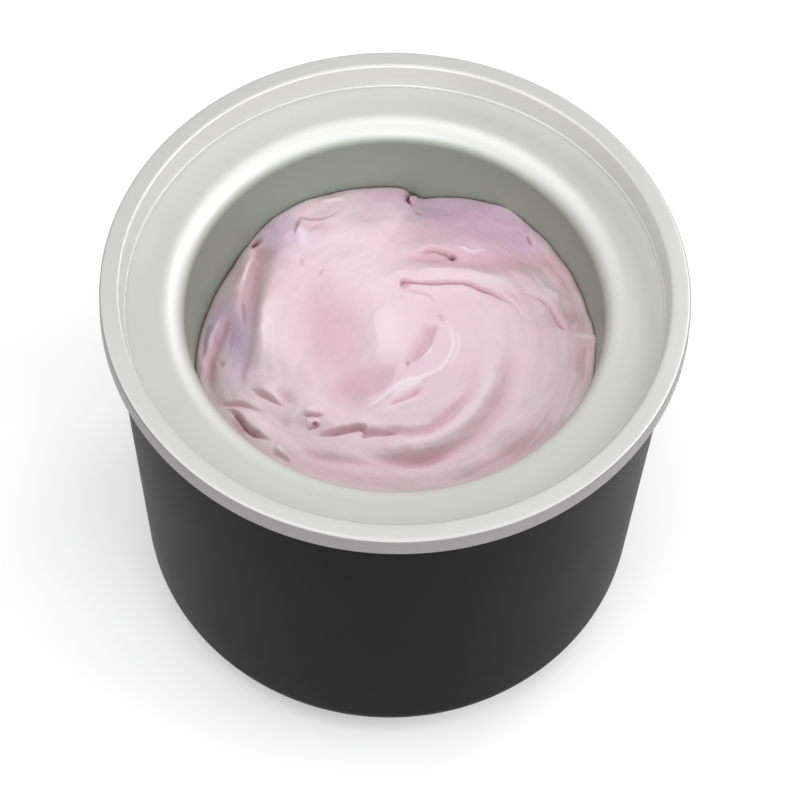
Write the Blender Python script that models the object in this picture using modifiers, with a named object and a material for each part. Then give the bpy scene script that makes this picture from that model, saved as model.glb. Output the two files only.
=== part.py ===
"""Freezer bowl of an ice cream maker, standing on its feet and holding a frozen batch.

The bowl is double-walled. A metal inner bowl hangs by its wide dish in a jacket that holds freezing
gel. Foam surrounds the jacket, a moulded shell surrounds the foam, and a collar with an overhanging rim
closes the top. The origin is the centre of the bowl's underside, +Z is up and lengths are in metres.
"""

import math

import bmesh
import bpy

# Whole object
HEIGHT = 0.191
RIM_RADIUS = 0.1145
GAP = 0.0003
RING_SEGMENTS = 48
FITTING_SEGMENTS = 24
SMALL_SEGMENTS = 16
SMOOTH_ANGLE = math.radians(32)

# Collar
RIM_DEPTH = 0.0085
RIM_ROUNDING = 0.0018
RIM_WALL = 0.0022
PLATE_THICKNESS = 0.0026
STEP_TOP_RADIUS = 0.1061
STEP_FOOT_RADIUS = 0.1056
STEP_DEPTH = 0.0117
LEDGE_RADIUS = 0.1049
LEDGE_HEIGHT = 0.0012
LEDGE_ROUNDING = 0.0005
GASKET_THICKNESS = 0.0008
GASKET_INNER_RADIUS = 0.1065

# Outer shell
SHELL_RADIUS = 0.1097
SHELL_WALL = 0.0020
SHELL_FLOOR = 0.0025
SHELL_FILLET = 0.0190
SEAL_THICKNESS = 0.0011

# Inner bowl
METAL = 0.0015
DISH_FLAT_RADIUS = 0.0950
DISH_CURVE = 0.0460
LIP_ROUNDING = 0.0095
LIP_START_RADIUS = 0.0920
BOWL_FLOOR_HEIGHT = 0.038
BOWL_CORNER = 0.025
BOWL_CORNER_RADIUS = 0.079
BOWL_ARC_STEPS = 5

# Freezing chamber and insulation
JACKET_INNER_RADIUS = 0.0975
JACKET_WALL = 0.0014
JACKET_CORNER = 0.0105
JACKET_BASE = 0.0205
GEL_TOP = 0.166
FOAM_TOP = 0.1760

# Feet and fixings, on a circle round the axis
FIXING_CIRCLE = 0.070
FIXING_SIDES = {"front_right": -45, "back_right": 45, "back_left": 135, "front_left": 225}
FOOT_RADIUS = 0.0090
FOOT_PROUD = 0.0015
FOOT_POCKET = 0.0012
BOSS_RADIUS = 0.0120
BOSS_TOP = 0.0080
POST_RADIUS = 0.0052
INSERT_RADIUS = 0.0029
INSERT_LENGTH = 0.0080
SCREW_RADIUS = 0.0020
SCREW_HEAD_RADIUS = 0.0038
SCREW_HEAD_HEIGHT = 0.0024
SCREW_LENGTH = 0.0110
HEAD_SEAT = 0.0060

# Filling hole
PLUG_RADIUS = 0.0060
PLUG_HEAD_RADIUS = 0.0092
PLUG_HEAD_HEIGHT = 0.0030
O_RING_SECTION = 0.0006

# Frozen batch
ICE_WALL_GAP = 0.0004
ICE_WALL_HEIGHT = 0.143
ICE_CROWN = 0.0045
ICE_TROUGH = 0.0030


def new_collection(name):
    collection = bpy.data.collections.new(name)
    bpy.context.scene.collection.children.link(collection)
    return collection


def finish(name, colour, roughness, metallic=0.0):
    """A plain material: its colour, how rough it is and whether it is a metal."""
    made = bpy.data.materials.new(name)
    made.use_nodes = True
    shader = made.node_tree.nodes["Principled BSDF"]
    shader.inputs["Base Color"].default_value = (*colour, 1.0)
    shader.inputs["Roughness"].default_value = roughness
    shader.inputs["Metallic"].default_value = metallic
    made.diffuse_color = (*colour, 1.0)
    return made


def arc(centre, radius, start, end, steps):
    """Points of a round stretch of an outline, from one angle in degrees to another."""
    angles = [math.radians(start + (end - start) * i / steps) for i in range(steps + 1)]
    return [(centre[0] + radius * math.cos(a), centre[1] + radius * math.sin(a)) for a in angles]


def solid_of_turn(name, outline, ring, segments):
    """Turns an outline round Z, with its lowest point at height 0. A ring's outline closes on itself."""
    base = min(z for _, z in outline)
    mesh = bpy.data.meshes.new(name)
    edges = [(i, i + 1) for i in range(len(outline) - 1)]
    if ring:
        edges.append((len(outline) - 1, 0))
    mesh.from_pydata([(r, 0, z - base) for r, z in outline], edges, [])
    profile = bpy.data.objects.new(name, mesh)
    bpy.context.scene.collection.objects.link(profile)
    screw = profile.modifiers.new("turn", "SCREW")
    screw.steps = segments
    screw.render_steps = segments
    screw.use_merge_vertices = True
    screw.merge_threshold = 1e-5
    graph = bpy.context.evaluated_depsgraph_get()
    turned_mesh = bpy.data.meshes.new_from_object(profile.evaluated_get(graph))
    turned_mesh.shade_smooth()
    turned_mesh.set_sharp_from_angle(angle=SMOOTH_ANGLE)
    bpy.data.objects.remove(profile)
    return turned_mesh, base


def turned(name, outline, look, ring=False, at=(0, 0), segments=RING_SEGMENTS):
    """A named turned piece, standing at its own height over the point `at`."""
    mesh, base = solid_of_turn(name, outline, ring, segments)
    piece = bpy.data.objects.new(name, mesh)
    piece.location = (*at, base)
    piece.data.materials.append(look)
    parts.objects.link(piece)
    piece.parent = bowl_frame
    return piece


def turned_helper(name, outline, at=(0, 0), segments=SMALL_SEGMENTS):
    """A turned cutter or filler for a Boolean, kept out of the model."""
    mesh, base = solid_of_turn(name, outline, False, segments)
    helper = bpy.data.objects.new(name, mesh)
    helper.location = (*at, base)
    helper.hide_render = True
    helper.display_type = "WIRE"
    cutters.objects.link(helper)
    return helper


def combine(piece, helper, operation):
    change = piece.modifiers.new(helper.name, "BOOLEAN")
    change.operation = operation
    change.object = helper


def drum(radius, low, high):
    """Outline of a plain cylinder."""
    return [(0, high), (radius, high), (radius, low), (0, low)]


def on_circle(angle):
    turn = math.radians(angle)
    return FIXING_CIRCLE * math.cos(turn), FIXING_CIRCLE * math.sin(turn)


# ---- The dish and the inner bowl's wall, which several pieces follow ----

def dish_rise(radius):
    """How far the dish has curved up, outwards from its flat inner part."""
    run = max(radius - DISH_FLAT_RADIUS, 0.0)
    return DISH_CURVE - math.sqrt(DISH_CURVE**2 - run**2)


def dish_height(radius):
    """Height of the dish's upper face: flat by the lip, curving up to the collar's foot."""
    foot = HEIGHT - STEP_DEPTH - GAP
    return foot - dish_rise(LEDGE_RADIUS) + dish_rise(min(radius, LEDGE_RADIUS))


def dish(offset):
    """Outline of the dish from the collar's foot in to the lip, lowered by the offset."""
    steps = 3
    radii = [LEDGE_RADIUS + (DISH_FLAT_RADIUS - LEDGE_RADIUS) * i / steps for i in range(steps + 1)]
    return [(radius, dish_height(radius) - offset) for radius in radii]


def bowl_inside(offset):
    """The bowl's inner outline from the lip's top to the axis, grown outwards by the offset."""
    lip_centre = (LIP_START_RADIUS, dish_height(LIP_START_RADIUS) - LIP_ROUNDING)
    corner_centre = (BOWL_CORNER_RADIUS - BOWL_CORNER, BOWL_FLOOR_HEIGHT + BOWL_CORNER)
    lip = arc(lip_centre, LIP_ROUNDING - offset, 90, 180, BOWL_ARC_STEPS)
    corner = arc(corner_centre, BOWL_CORNER + offset, 0, -90, BOWL_ARC_STEPS)
    return lip + corner + [(0, BOWL_FLOOR_HEIGHT - offset)]


def wall_radius(height):
    """Inner radius of the bowl's tapering wall between the lip and the bottom corner."""
    top = (LIP_START_RADIUS - LIP_ROUNDING, dish_height(LIP_START_RADIUS) - LIP_ROUNDING)
    bottom = (BOWL_CORNER_RADIUS, BOWL_FLOOR_HEIGHT + BOWL_CORNER)
    share = (height - bottom[1]) / (top[1] - bottom[1])
    return bottom[0] + (top[0] - bottom[0]) * share


# ---- Top of the bowl ----

def make_collar_ring():
    """Overhanging rim, flat top and the wall that steps down to a small ledge on the dish."""
    rim_round = arc((RIM_RADIUS - RIM_ROUNDING, HEIGHT - RIM_ROUNDING), RIM_ROUNDING, 90, 0, 4)
    edge = 0.0004
    skirt_foot = HEIGHT - RIM_DEPTH
    under_plate = HEIGHT - PLATE_THICKNESS
    wall_outside = SHELL_RADIUS - SHELL_WALL - GAP
    foot = HEIGHT - STEP_DEPTH
    outline = rim_round + [
        (RIM_RADIUS, skirt_foot + edge),
        (RIM_RADIUS - edge, skirt_foot),
        (RIM_RADIUS - RIM_WALL, skirt_foot),
        (RIM_RADIUS - RIM_WALL, under_plate),
        (wall_outside, under_plate),
        (wall_outside, foot + GAP + GASKET_THICKNESS),
        (GASKET_INNER_RADIUS - GAP, foot + GAP + GASKET_THICKNESS),
        (GASKET_INNER_RADIUS - GAP, foot),
        (LEDGE_RADIUS, foot),
        (LEDGE_RADIUS, foot + LEDGE_HEIGHT - LEDGE_ROUNDING),
        (LEDGE_RADIUS + LEDGE_ROUNDING, foot + LEDGE_HEIGHT),
        (STEP_FOOT_RADIUS, foot + LEDGE_HEIGHT),
        (STEP_TOP_RADIUS, HEIGHT - edge),
        (STEP_TOP_RADIUS + edge, HEIGHT),
    ]
    turned("collar_ring", outline, light_plastic, ring=True)


def flat_ring(name, inner, outer, low, high, look):
    outline = [(outer, high), (outer, low), (inner, low), (inner, high)]
    turned(name, outline, look, ring=True)


def make_seals():
    foot = HEIGHT - STEP_DEPTH
    gasket_outside = SHELL_RADIUS - SHELL_WALL - GAP
    flat_ring("rim_gasket", GASKET_INNER_RADIUS, gasket_outside, foot, foot + GASKET_THICKNESS, rubber)
    seal_top = HEIGHT - PLATE_THICKNESS - GAP
    seal_inside = SHELL_RADIUS - SHELL_WALL
    flat_ring("collar_seal", seal_inside, SHELL_RADIUS, seal_top - SEAL_THICKNESS, seal_top, rubber)


def make_inner_bowl():
    """One pressing: flange under the collar, sloping dish, rolled lip, tapering wall and flat floor."""
    flange = SHELL_RADIUS - SHELL_WALL - 2 * GAP
    top = dish_height(flange)
    inside = list(reversed(dish(0) + bowl_inside(0)))
    outside = dish(METAL) + bowl_inside(METAL)
    turned("inner_bowl", inside + [(flange, top), (flange, top - METAL)] + outside, bowl_metal)


# ---- Outside of the bowl ----

def make_outer_shell():
    """Straight tub with a rounded foot. Four bosses carry the screws, with pockets for the feet."""
    low = FOOT_PROUD
    top = HEIGHT - PLATE_THICKNESS - 2 * GAP - SEAL_THICKNESS
    centre = (SHELL_RADIUS - SHELL_FILLET, low + SHELL_FILLET)
    inner_fillet = SHELL_FILLET - SHELL_FLOOR
    inner_centre = (SHELL_RADIUS - SHELL_WALL - inner_fillet, low + SHELL_FILLET)
    inside = [(0, low + SHELL_FLOOR)] + arc(inner_centre, inner_fillet, -90, 0, 4)
    mouth = [(SHELL_RADIUS - SHELL_WALL, top), (SHELL_RADIUS, top)]
    outside = arc(centre, SHELL_FILLET, 0, -90, 6) + [(0, low)]
    shell = turned("outer_shell", inside + mouth + outside, charcoal_plastic)
    pocket_top = low + FOOT_POCKET + GAP
    for side, angle in FIXING_SIDES.items():
        boss = drum(BOSS_RADIUS, low + SHELL_FLOOR / 2, BOSS_TOP)
        combine(shell, turned_helper(f"boss_{side}", boss, on_circle(angle), FITTING_SEGMENTS), "UNION")
        pocket = [
            (0, BOSS_TOP + 0.002),
            (SCREW_RADIUS + GAP, BOSS_TOP + 0.002),
            (SCREW_RADIUS + GAP, HEAD_SEAT),
            (SCREW_HEAD_RADIUS + GAP, HEAD_SEAT),
            (SCREW_HEAD_RADIUS + GAP, pocket_top),
            (FOOT_RADIUS + GAP, pocket_top),
            (FOOT_RADIUS + GAP, low - 0.002),
            (0, low - 0.002),
        ]
        cutter = turned_helper(f"pocket_{side}", pocket, on_circle(angle), FITTING_SEGMENTS)
        combine(shell, cutter, "DIFFERENCE")


def make_foot(name, at):
    high = FOOT_PROUD + FOOT_POCKET
    bevel = 0.0007
    outline = [(0, high), (FOOT_RADIUS, high), (FOOT_RADIUS, bevel), (FOOT_RADIUS - bevel, 0), (0, 0)]
    turned(name, outline, rubber, at=at, segments=FITTING_SEGMENTS)


def make_screw(name, at):
    """Pan-head screw standing head down, with a cross recess in its head."""
    under_head = HEAD_SEAT - GAP
    low = under_head - SCREW_HEAD_HEIGHT
    tip = under_head + SCREW_LENGTH
    edge = 0.0008
    outline = [
        (0, tip),
        (SCREW_RADIUS - edge, tip),
        (SCREW_RADIUS, tip - edge),
        (SCREW_RADIUS, under_head),
        (SCREW_HEAD_RADIUS, under_head),
        (SCREW_HEAD_RADIUS, low + edge),
        (SCREW_HEAD_RADIUS - edge, low),
        (0, low),
    ]
    screw = turned(name, outline, steel, at=at, segments=SMALL_SEGMENTS)
    for turn in (0, 90):
        combine(screw, recess_bar(f"{name}_recess_{turn}", at, low, turn), "DIFFERENCE")


def recess_bar(name, at, low, turn):
    """One bar of a screw head's cross recess."""
    length, width, depth = 0.0040, 0.0008, 0.0012
    mesh = bpy.data.meshes.new(name)
    cube = bmesh.new()
    bmesh.ops.create_cube(cube, size=1.0)
    bmesh.ops.scale(cube, vec=(length, width, 2 * depth), verts=cube.verts)
    cube.to_mesh(mesh)
    cube.free()
    bar = bpy.data.objects.new(name, mesh)
    bar.location = (*at, low)
    bar.rotation_euler.z = math.radians(turn)
    bar.hide_render = True
    bar.display_type = "WIRE"
    cutters.objects.link(bar)
    return bar


def make_insert(name, at):
    """Brass sleeve that the screw turns into, held in the jacket's post."""
    low = BOSS_TOP + 2 * GAP
    outline = [
        (INSERT_RADIUS, low + INSERT_LENGTH),
        (INSERT_RADIUS, low),
        (SCREW_RADIUS + GAP, low),
        (SCREW_RADIUS + GAP, low + INSERT_LENGTH),
    ]
    turned(name, outline, brass, ring=True, at=at, segments=SMALL_SEGMENTS)


def make_fixings():
    for side, angle in FIXING_SIDES.items():
        make_foot(f"foot_{side}", on_circle(angle))
        make_screw(f"shell_screw_{side}", on_circle(angle))
        make_insert(f"shell_insert_{side}", on_circle(angle))


# ---- Freezing chamber ----

def make_coolant_jacket():
    """Tub round the inner bowl. Four hollow posts stand on the shell's bosses; a hole takes the plug."""
    outer = JACKET_INNER_RADIUS + JACKET_WALL
    top = dish_height(outer) - METAL - GAP
    floor = JACKET_BASE + JACKET_WALL
    inner_centre = (JACKET_INNER_RADIUS - JACKET_CORNER, floor + JACKET_CORNER)
    inside = [(0, floor)] + arc(inner_centre, JACKET_CORNER, -90, 0, 3)
    outside = arc(inner_centre, JACKET_CORNER + JACKET_WALL, 0, -90, 3) + [(0, JACKET_BASE)]
    mouth = [(JACKET_INNER_RADIUS, top), (outer, top)]
    jacket = turned("coolant_jacket", inside + mouth + outside, jacket_plastic)
    post_foot = BOSS_TOP + GAP
    hole_top = HEAD_SEAT + SCREW_LENGTH + GAP
    for side, angle in FIXING_SIDES.items():
        post = drum(POST_RADIUS, post_foot, JACKET_BASE + JACKET_WALL / 2)
        combine(jacket, turned_helper(f"post_{side}", post, on_circle(angle)), "UNION")
        hole = drum(INSERT_RADIUS + GAP, post_foot - 0.002, hole_top)
        combine(jacket, turned_helper(f"post_hole_{side}", hole, on_circle(angle)), "DIFFERENCE")
    filling = drum(PLUG_RADIUS + GAP, JACKET_BASE - 0.002, floor + 0.002)
    combine(jacket, turned_helper("filling_hole", filling, segments=FITTING_SEGMENTS), "DIFFERENCE")


def make_coolant_gel():
    """The gel as it fills the chamber, with a space above it for its growth on freezing."""
    outer = JACKET_INNER_RADIUS - GAP
    low = JACKET_BASE + JACKET_WALL + GAP
    corner = JACKET_CORNER
    clear = METAL + GAP
    inner_top = (wall_radius(GEL_TOP) + clear, GEL_TOP)
    bowl_corner = (BOWL_CORNER_RADIUS - BOWL_CORNER, BOWL_FLOOR_HEIGHT + BOWL_CORNER)
    inside = arc(bowl_corner, BOWL_CORNER + clear, -90, 0, BOWL_ARC_STEPS) + [inner_top]
    outside = [(outer, GEL_TOP)] + arc((outer - corner, low + corner), corner, 0, -90, 3)
    outline = [(0, BOWL_FLOOR_HEIGHT - clear)] + inside + outside + [(0, low)]
    turned("coolant_gel", outline, gel)


def make_fill_plug():
    """Plug screwed up into the filling hole, with a hexagonal socket for its key."""
    top = JACKET_BASE + JACKET_WALL
    shoulder = JACKET_BASE - 2 * O_RING_SECTION - 2 * GAP
    low = shoulder - PLUG_HEAD_HEIGHT
    edge = 0.0006
    outline = [
        (0, top),
        (PLUG_RADIUS, top),
        (PLUG_RADIUS, shoulder),
        (PLUG_HEAD_RADIUS, shoulder),
        (PLUG_HEAD_RADIUS, low + edge),
        (PLUG_HEAD_RADIUS - edge, low),
        (0, low),
    ]
    plug = turned("fill_plug", outline, jacket_plastic, segments=FITTING_SEGMENTS)
    socket = drum(0.0035, low - 0.001, low + 0.0028)
    combine(plug, turned_helper("plug_socket", socket, segments=6), "DIFFERENCE")
    section_centre = (PLUG_RADIUS + GAP + O_RING_SECTION, shoulder + GAP + O_RING_SECTION)
    section = arc(section_centre, O_RING_SECTION, 90, -270, 6)[:-1]
    turned("fill_plug_o_ring", section, rubber, ring=True, segments=FITTING_SEGMENTS)


# ---- Insulation ----

def make_foam():
    shell_inside = SHELL_RADIUS - SHELL_WALL
    sleeve_low = JACKET_BASE
    jacket_outside = JACKET_INNER_RADIUS + JACKET_WALL
    flat_ring("foam_sleeve", jacket_outside + GAP, shell_inside - GAP, sleeve_low, FOAM_TOP, foam)
    inner_fillet = SHELL_FILLET - SHELL_FLOOR
    centre = (shell_inside - inner_fillet, FOOT_PROUD + SHELL_FILLET)
    lowest = BOSS_TOP + GAP
    fit = inner_fillet - 3 * GAP
    rise = math.degrees(math.asin((centre[1] - lowest) / fit))
    side = arc(centre, fit, -2, -rise, 4)
    top = side[0][1]
    base = turned("foam_base", [(0, top)] + side + [(0, lowest)], foam)
    for name, angle in FIXING_SIDES.items():
        hole = drum(POST_RADIUS + GAP, lowest - 0.002, top + 0.002)
        combine(base, turned_helper(f"foam_hole_{name}", hole, on_circle(angle)), "DIFFERENCE")
    access = drum(PLUG_HEAD_RADIUS + 2 * GAP, lowest - 0.002, top + 0.002)
    combine(base, turned_helper("plug_access", access, segments=FITTING_SEGMENTS), "DIFFERENCE")


# ---- Frozen batch ----

def make_ice_cream():
    """The batch as a plain turned block that fits the bowl: a low crown, a churned trough, then the wall."""
    wall = wall_radius(ICE_WALL_HEIGHT) - ICE_WALL_GAP
    rings = 8
    surface = []
    for i in range(rings + 1):
        share = i / rings
        wave = ICE_CROWN * math.cos(math.pi * share * 0.5) - ICE_TROUGH * math.sin(math.pi * share) ** 2
        surface.append((wall * share, ICE_WALL_HEIGHT + wave))
    corner_centre = (BOWL_CORNER_RADIUS - BOWL_CORNER, BOWL_FLOOR_HEIGHT + BOWL_CORNER)
    corner = arc(corner_centre, BOWL_CORNER - ICE_WALL_GAP, 0, -90, BOWL_ARC_STEPS)
    bottom = [(0, BOWL_FLOOR_HEIGHT + ICE_WALL_GAP)]
    batch = turned("ice_cream", surface + corner + bottom, ice)
    batch.parent = lift_frame


def empty(name, parent=None):
    made = bpy.data.objects.new(name, None)
    made.empty_display_size = 0.05
    bpy.context.scene.collection.objects.link(made)
    made.parent = parent
    return made


for old in list(bpy.data.objects):
    bpy.data.objects.remove(old)

parts = new_collection("freezer_bowl")
cutters = new_collection("cutters")
cutters.hide_render = True

light_plastic = finish("light_plastic", (0.62, 0.62, 0.61), 0.35)
charcoal_plastic = finish("charcoal_plastic", (0.022, 0.022, 0.024), 0.42)
bowl_metal = finish("bowl_metal", (0.55, 0.55, 0.53), 0.38, 0.6)
rubber = finish("rubber", (0.03, 0.03, 0.03), 0.8)
jacket_plastic = finish("jacket_plastic", (0.80, 0.80, 0.78), 0.5)
gel = finish("gel", (0.35, 0.55, 0.75), 0.2)
foam = finish("foam", (0.88, 0.87, 0.82), 0.9)
steel = finish("steel", (0.60, 0.60, 0.62), 0.3, 1.0)
brass = finish("brass", (0.72, 0.53, 0.22), 0.35, 1.0)
ice = finish("ice", (0.80, 0.62, 0.68), 0.55)

bowl_frame = empty("bowl_frame")
lift_frame = empty("lift_frame", bowl_frame)

make_collar_ring()
make_seals()
make_inner_bowl()
make_outer_shell()
make_fixings()
make_coolant_jacket()
make_coolant_gel()
make_fill_plug()
make_foam()
make_ice_cream()
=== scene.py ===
"""Looks of the ice cream maker's freezer bowl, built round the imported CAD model.

The collar, inner bowl, shell, feet and frozen batch are fine surfaces that replace the plain CAD ones.
Lengths are in metres, in the CAD model's own frame: +Z up, the origin under the middle of the bowl.
"""

import math

import bmesh
import bpy
import numpy as np
from mathutils import Matrix, Vector


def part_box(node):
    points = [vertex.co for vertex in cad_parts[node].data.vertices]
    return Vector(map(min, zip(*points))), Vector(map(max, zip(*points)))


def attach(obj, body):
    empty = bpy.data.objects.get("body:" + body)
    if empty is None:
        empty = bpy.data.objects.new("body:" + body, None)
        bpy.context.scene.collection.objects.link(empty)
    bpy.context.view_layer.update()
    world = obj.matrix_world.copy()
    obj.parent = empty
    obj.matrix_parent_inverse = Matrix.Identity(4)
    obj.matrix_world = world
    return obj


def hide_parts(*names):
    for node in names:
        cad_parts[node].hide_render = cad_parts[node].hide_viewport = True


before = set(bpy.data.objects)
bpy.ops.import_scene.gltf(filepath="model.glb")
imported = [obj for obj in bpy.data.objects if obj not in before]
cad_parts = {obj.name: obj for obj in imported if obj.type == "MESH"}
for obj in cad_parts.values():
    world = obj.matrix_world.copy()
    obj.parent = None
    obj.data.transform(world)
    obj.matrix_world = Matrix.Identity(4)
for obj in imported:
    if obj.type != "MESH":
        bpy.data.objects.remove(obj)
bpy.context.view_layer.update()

MM = 0.001

# Sizes read from the frame
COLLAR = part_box("collar_ring")
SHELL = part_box("outer_shell")
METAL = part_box("inner_bowl")
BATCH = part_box("ice_cream")
RIM_RADIUS = COLLAR[1][0]
TOP = COLLAR[1][2]
SHELL_RADIUS = SHELL[1][0]
SHELL_BASE = SHELL[0][2]
SHELL_TOP = SHELL[1][2]
FLANGE_RADIUS = METAL[1][0]
METAL_TOP = METAL[1][2]

# Collar
COLLAR_LIFT = 0.02 * MM
SKIRT_EDGE = 0.45 * MM
SHELL_CLEARANCE = 0.3 * MM
SKIRT_DEPTH = 8.5 * MM
SKIRT_WALL = 2.2 * MM
PLATE = 2.6 * MM
RIM_ROUNDING = 1.2 * MM
RIM_TAPER = 0.6 * MM
STEP_TOP_RADIUS = 106.1 * MM
STEP_FOOT_RADIUS = 105.6 * MM
STEP_EDGE = 1.3 * MM
LEDGE_RADIUS = 104.9 * MM
LEDGE_HEIGHT = 1.2 * MM
LEDGE_ROUNDING = 0.7 * MM
GASKET_SPACE = 1.1 * MM
GASKET_RADIUS = 106.2 * MM

# Inner bowl
SHEET = 1.5 * MM
DISH_FLAT_RADIUS = 95 * MM
DISH_CURVE = 46 * MM
LIP_ROUNDING = 9.5 * MM
LIP_RADIUS = 92 * MM
BOWL_FLOOR = METAL[0][2] + SHEET
BOWL_CORNER = 25 * MM
CORNER_RADIUS = 79 * MM

# Shell and feet
SHELL_WALL = 2.0 * MM
SHELL_FLOOR = 2.5 * MM
SHELL_FILLET = 19 * MM
BOSS_RADIUS = 12 * MM
BOSS_TOP = 8 * MM
HEAD_SEAT = 6 * MM
SCREW_HOLE = 2.3 * MM
HEAD_HOLE = 4.1 * MM
POCKET_GAP = 0.3 * MM
CUT_PAST = 2 * MM
FOOT_ROUNDING = 0.7 * MM
FEET = ("foot_front_right", "foot_back_right", "foot_back_left", "foot_front_left")

# Fineness
TURN_STEPS = 224
FOOT_STEPS = 72
BATCH_CELLS = 320
BATCH_EDGE_ANGLE = 75
BATCH_GAP = 0.15 * MM


# ---- Shapes ----

def arc(centre, radius, start, end, steps):
    """Points of a round stretch of an outline, from one angle in degrees to another."""
    angles = [math.radians(start + (end - start) * i / steps) for i in range(steps + 1)]
    return [(centre[0] + radius * math.cos(a), centre[1] + radius * math.sin(a)) for a in angles]


def straight(start, end, steps):
    """Points between two corners of an outline, both left out."""
    shares = [i / steps for i in range(1, steps)]
    return [(start[0] + (end[0] - start[0]) * s, start[1] + (end[1] - start[1]) * s) for s in shares]


def turned(name, outline, ring, steps=TURN_STEPS):
    """A piece turned round Z. A ring's outline closes on itself; another one starts and ends on the axis."""
    mesh = bpy.data.meshes.new(name)
    edges = [(i, i + 1) for i in range(len(outline) - 1)]
    if ring:
        edges.append((len(outline) - 1, 0))
    mesh.from_pydata([(r, 0, z) for r, z in outline], edges, [])
    profile = bpy.data.objects.new(name, mesh)
    bpy.context.collection.objects.link(profile)
    screw = profile.modifiers.new("turn", "SCREW")
    screw.steps = steps
    screw.render_steps = steps
    screw.use_merge_vertices = True
    screw.merge_threshold = 1e-6
    graph = bpy.context.evaluated_depsgraph_get()
    whole = bpy.data.meshes.new_from_object(profile.evaluated_get(graph))
    bpy.data.objects.remove(profile)
    whole.shade_smooth()
    piece = bpy.data.objects.new(name, whole)
    bpy.context.collection.objects.link(piece)
    return piece


def soften(piece, angle=28):
    """Keeps edges sharper than the angle, in degrees, and smooths the rest."""
    piece.data.set_sharp_from_angle(angle=math.radians(angle))


def collar():
    """Rim, flat top and the wall that steps down to a small ledge, with every edge rounded."""
    top, foot = TOP, METAL_TOP + COLLAR_LIFT
    skirt_foot = top - SKIRT_DEPTH
    edge = SKIRT_EDGE
    inner = RIM_RADIUS - SKIRT_WALL
    wall_outside = SHELL_RADIUS - SHELL_WALL - SHELL_CLEARANCE
    ledge = foot + LEDGE_HEIGHT
    lean = math.degrees(math.atan2(STEP_TOP_RADIUS - STEP_FOOT_RADIUS, top - ledge))
    shoulder = RIM_RADIUS - RIM_TAPER - RIM_ROUNDING
    outline = arc((shoulder, top - RIM_ROUNDING), RIM_ROUNDING, 90, 0, 10)
    outline += arc((RIM_RADIUS - edge, skirt_foot + edge), edge, 0, -90, 4)
    outline += arc((inner + edge, skirt_foot + edge), edge, -90, -180, 4)
    outline += [(inner, top - PLATE), (wall_outside, top - PLATE), (wall_outside, foot + GASKET_SPACE)]
    outline += [(GASKET_RADIUS, foot + GASKET_SPACE), (GASKET_RADIUS, foot), (LEDGE_RADIUS, foot)]
    outline += arc((LEDGE_RADIUS + LEDGE_ROUNDING, ledge - LEDGE_ROUNDING), LEDGE_ROUNDING, 180, 90, 5)
    outline += [(STEP_FOOT_RADIUS, ledge)]
    outline += arc((STEP_TOP_RADIUS + STEP_EDGE, top - STEP_EDGE), STEP_EDGE, 180 - lean, 90, 8)
    outline += straight((STEP_TOP_RADIUS + STEP_EDGE, top), (shoulder, top), 4)
    piece = turned("collar", outline, True)
    soften(piece)
    return piece


def dish_rise(radius):
    """How far the dish has curved up, outwards from its flat inner part."""
    run = max(radius - DISH_FLAT_RADIUS, 0.0)
    return DISH_CURVE - math.sqrt(DISH_CURVE**2 - run**2)


LIP_TOP = METAL_TOP - dish_rise(LEDGE_RADIUS)


def dish(offset):
    """Outline of the dish from the collar's foot in to the lip, lowered by the offset."""
    steps = 10
    radii = [LEDGE_RADIUS + (LIP_RADIUS - LEDGE_RADIUS) * i / steps for i in range(steps)]
    return [(radius, LIP_TOP + dish_rise(radius) - offset) for radius in radii]


def bowl_inside(offset):
    """Outline from the lip's top to the axis, grown outwards by the offset."""
    lip = arc((LIP_RADIUS, LIP_TOP - LIP_ROUNDING), LIP_ROUNDING - offset, 90, 180, 14)
    corner_centre = (CORNER_RADIUS - BOWL_CORNER, BOWL_FLOOR + BOWL_CORNER)
    corner = arc(corner_centre, BOWL_CORNER + offset, 0, -90, 12)
    wall = straight(lip[-1], corner[0], 8)
    return lip + wall + corner + [(0, BOWL_FLOOR - offset)]


def inner_bowl():
    """Flange under the collar, dish, rolled lip, wall and floor, in one sheet."""
    edge = [(FLANGE_RADIUS, METAL_TOP), (FLANGE_RADIUS, METAL_TOP - SHEET)]
    inside = list(reversed(dish(0) + bowl_inside(0)))
    piece = turned("bowl", inside + edge + dish(SHEET) + bowl_inside(SHEET), False)
    soften(piece)
    return piece


def wall_radius(height):
    """Inner radius of the bowl's tapering wall."""
    top = (LIP_RADIUS - LIP_ROUNDING, LIP_TOP - LIP_ROUNDING)
    bottom = (CORNER_RADIUS, BOWL_FLOOR + BOWL_CORNER)
    return bottom[0] + (top[0] - bottom[0]) * (height - bottom[1]) / (top[1] - bottom[1])


def shell():
    """Straight tub with a round foot, and under it a pocket and a screw hole for each foot."""
    low = SHELL_BASE
    inner_fillet = SHELL_FILLET - SHELL_FLOOR
    inner_centre = (SHELL_RADIUS - SHELL_WALL - inner_fillet, low + SHELL_FILLET)
    inside = [(0, low + SHELL_FLOOR)] + arc(inner_centre, inner_fillet, -90, 0, 12)
    mouth = [(SHELL_RADIUS - SHELL_WALL, SHELL_TOP), (SHELL_RADIUS, SHELL_TOP)]
    outside = arc((SHELL_RADIUS - SHELL_FILLET, low + SHELL_FILLET), SHELL_FILLET, 0, -90, 18)
    wall = straight(mouth[-1], outside[0], 6)
    piece = turned("shell", inside + mouth + wall + outside + [(0, low)], False)
    for name in FEET:
        add_foot_seat(piece, name)
    soften(piece)
    return piece


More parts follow.
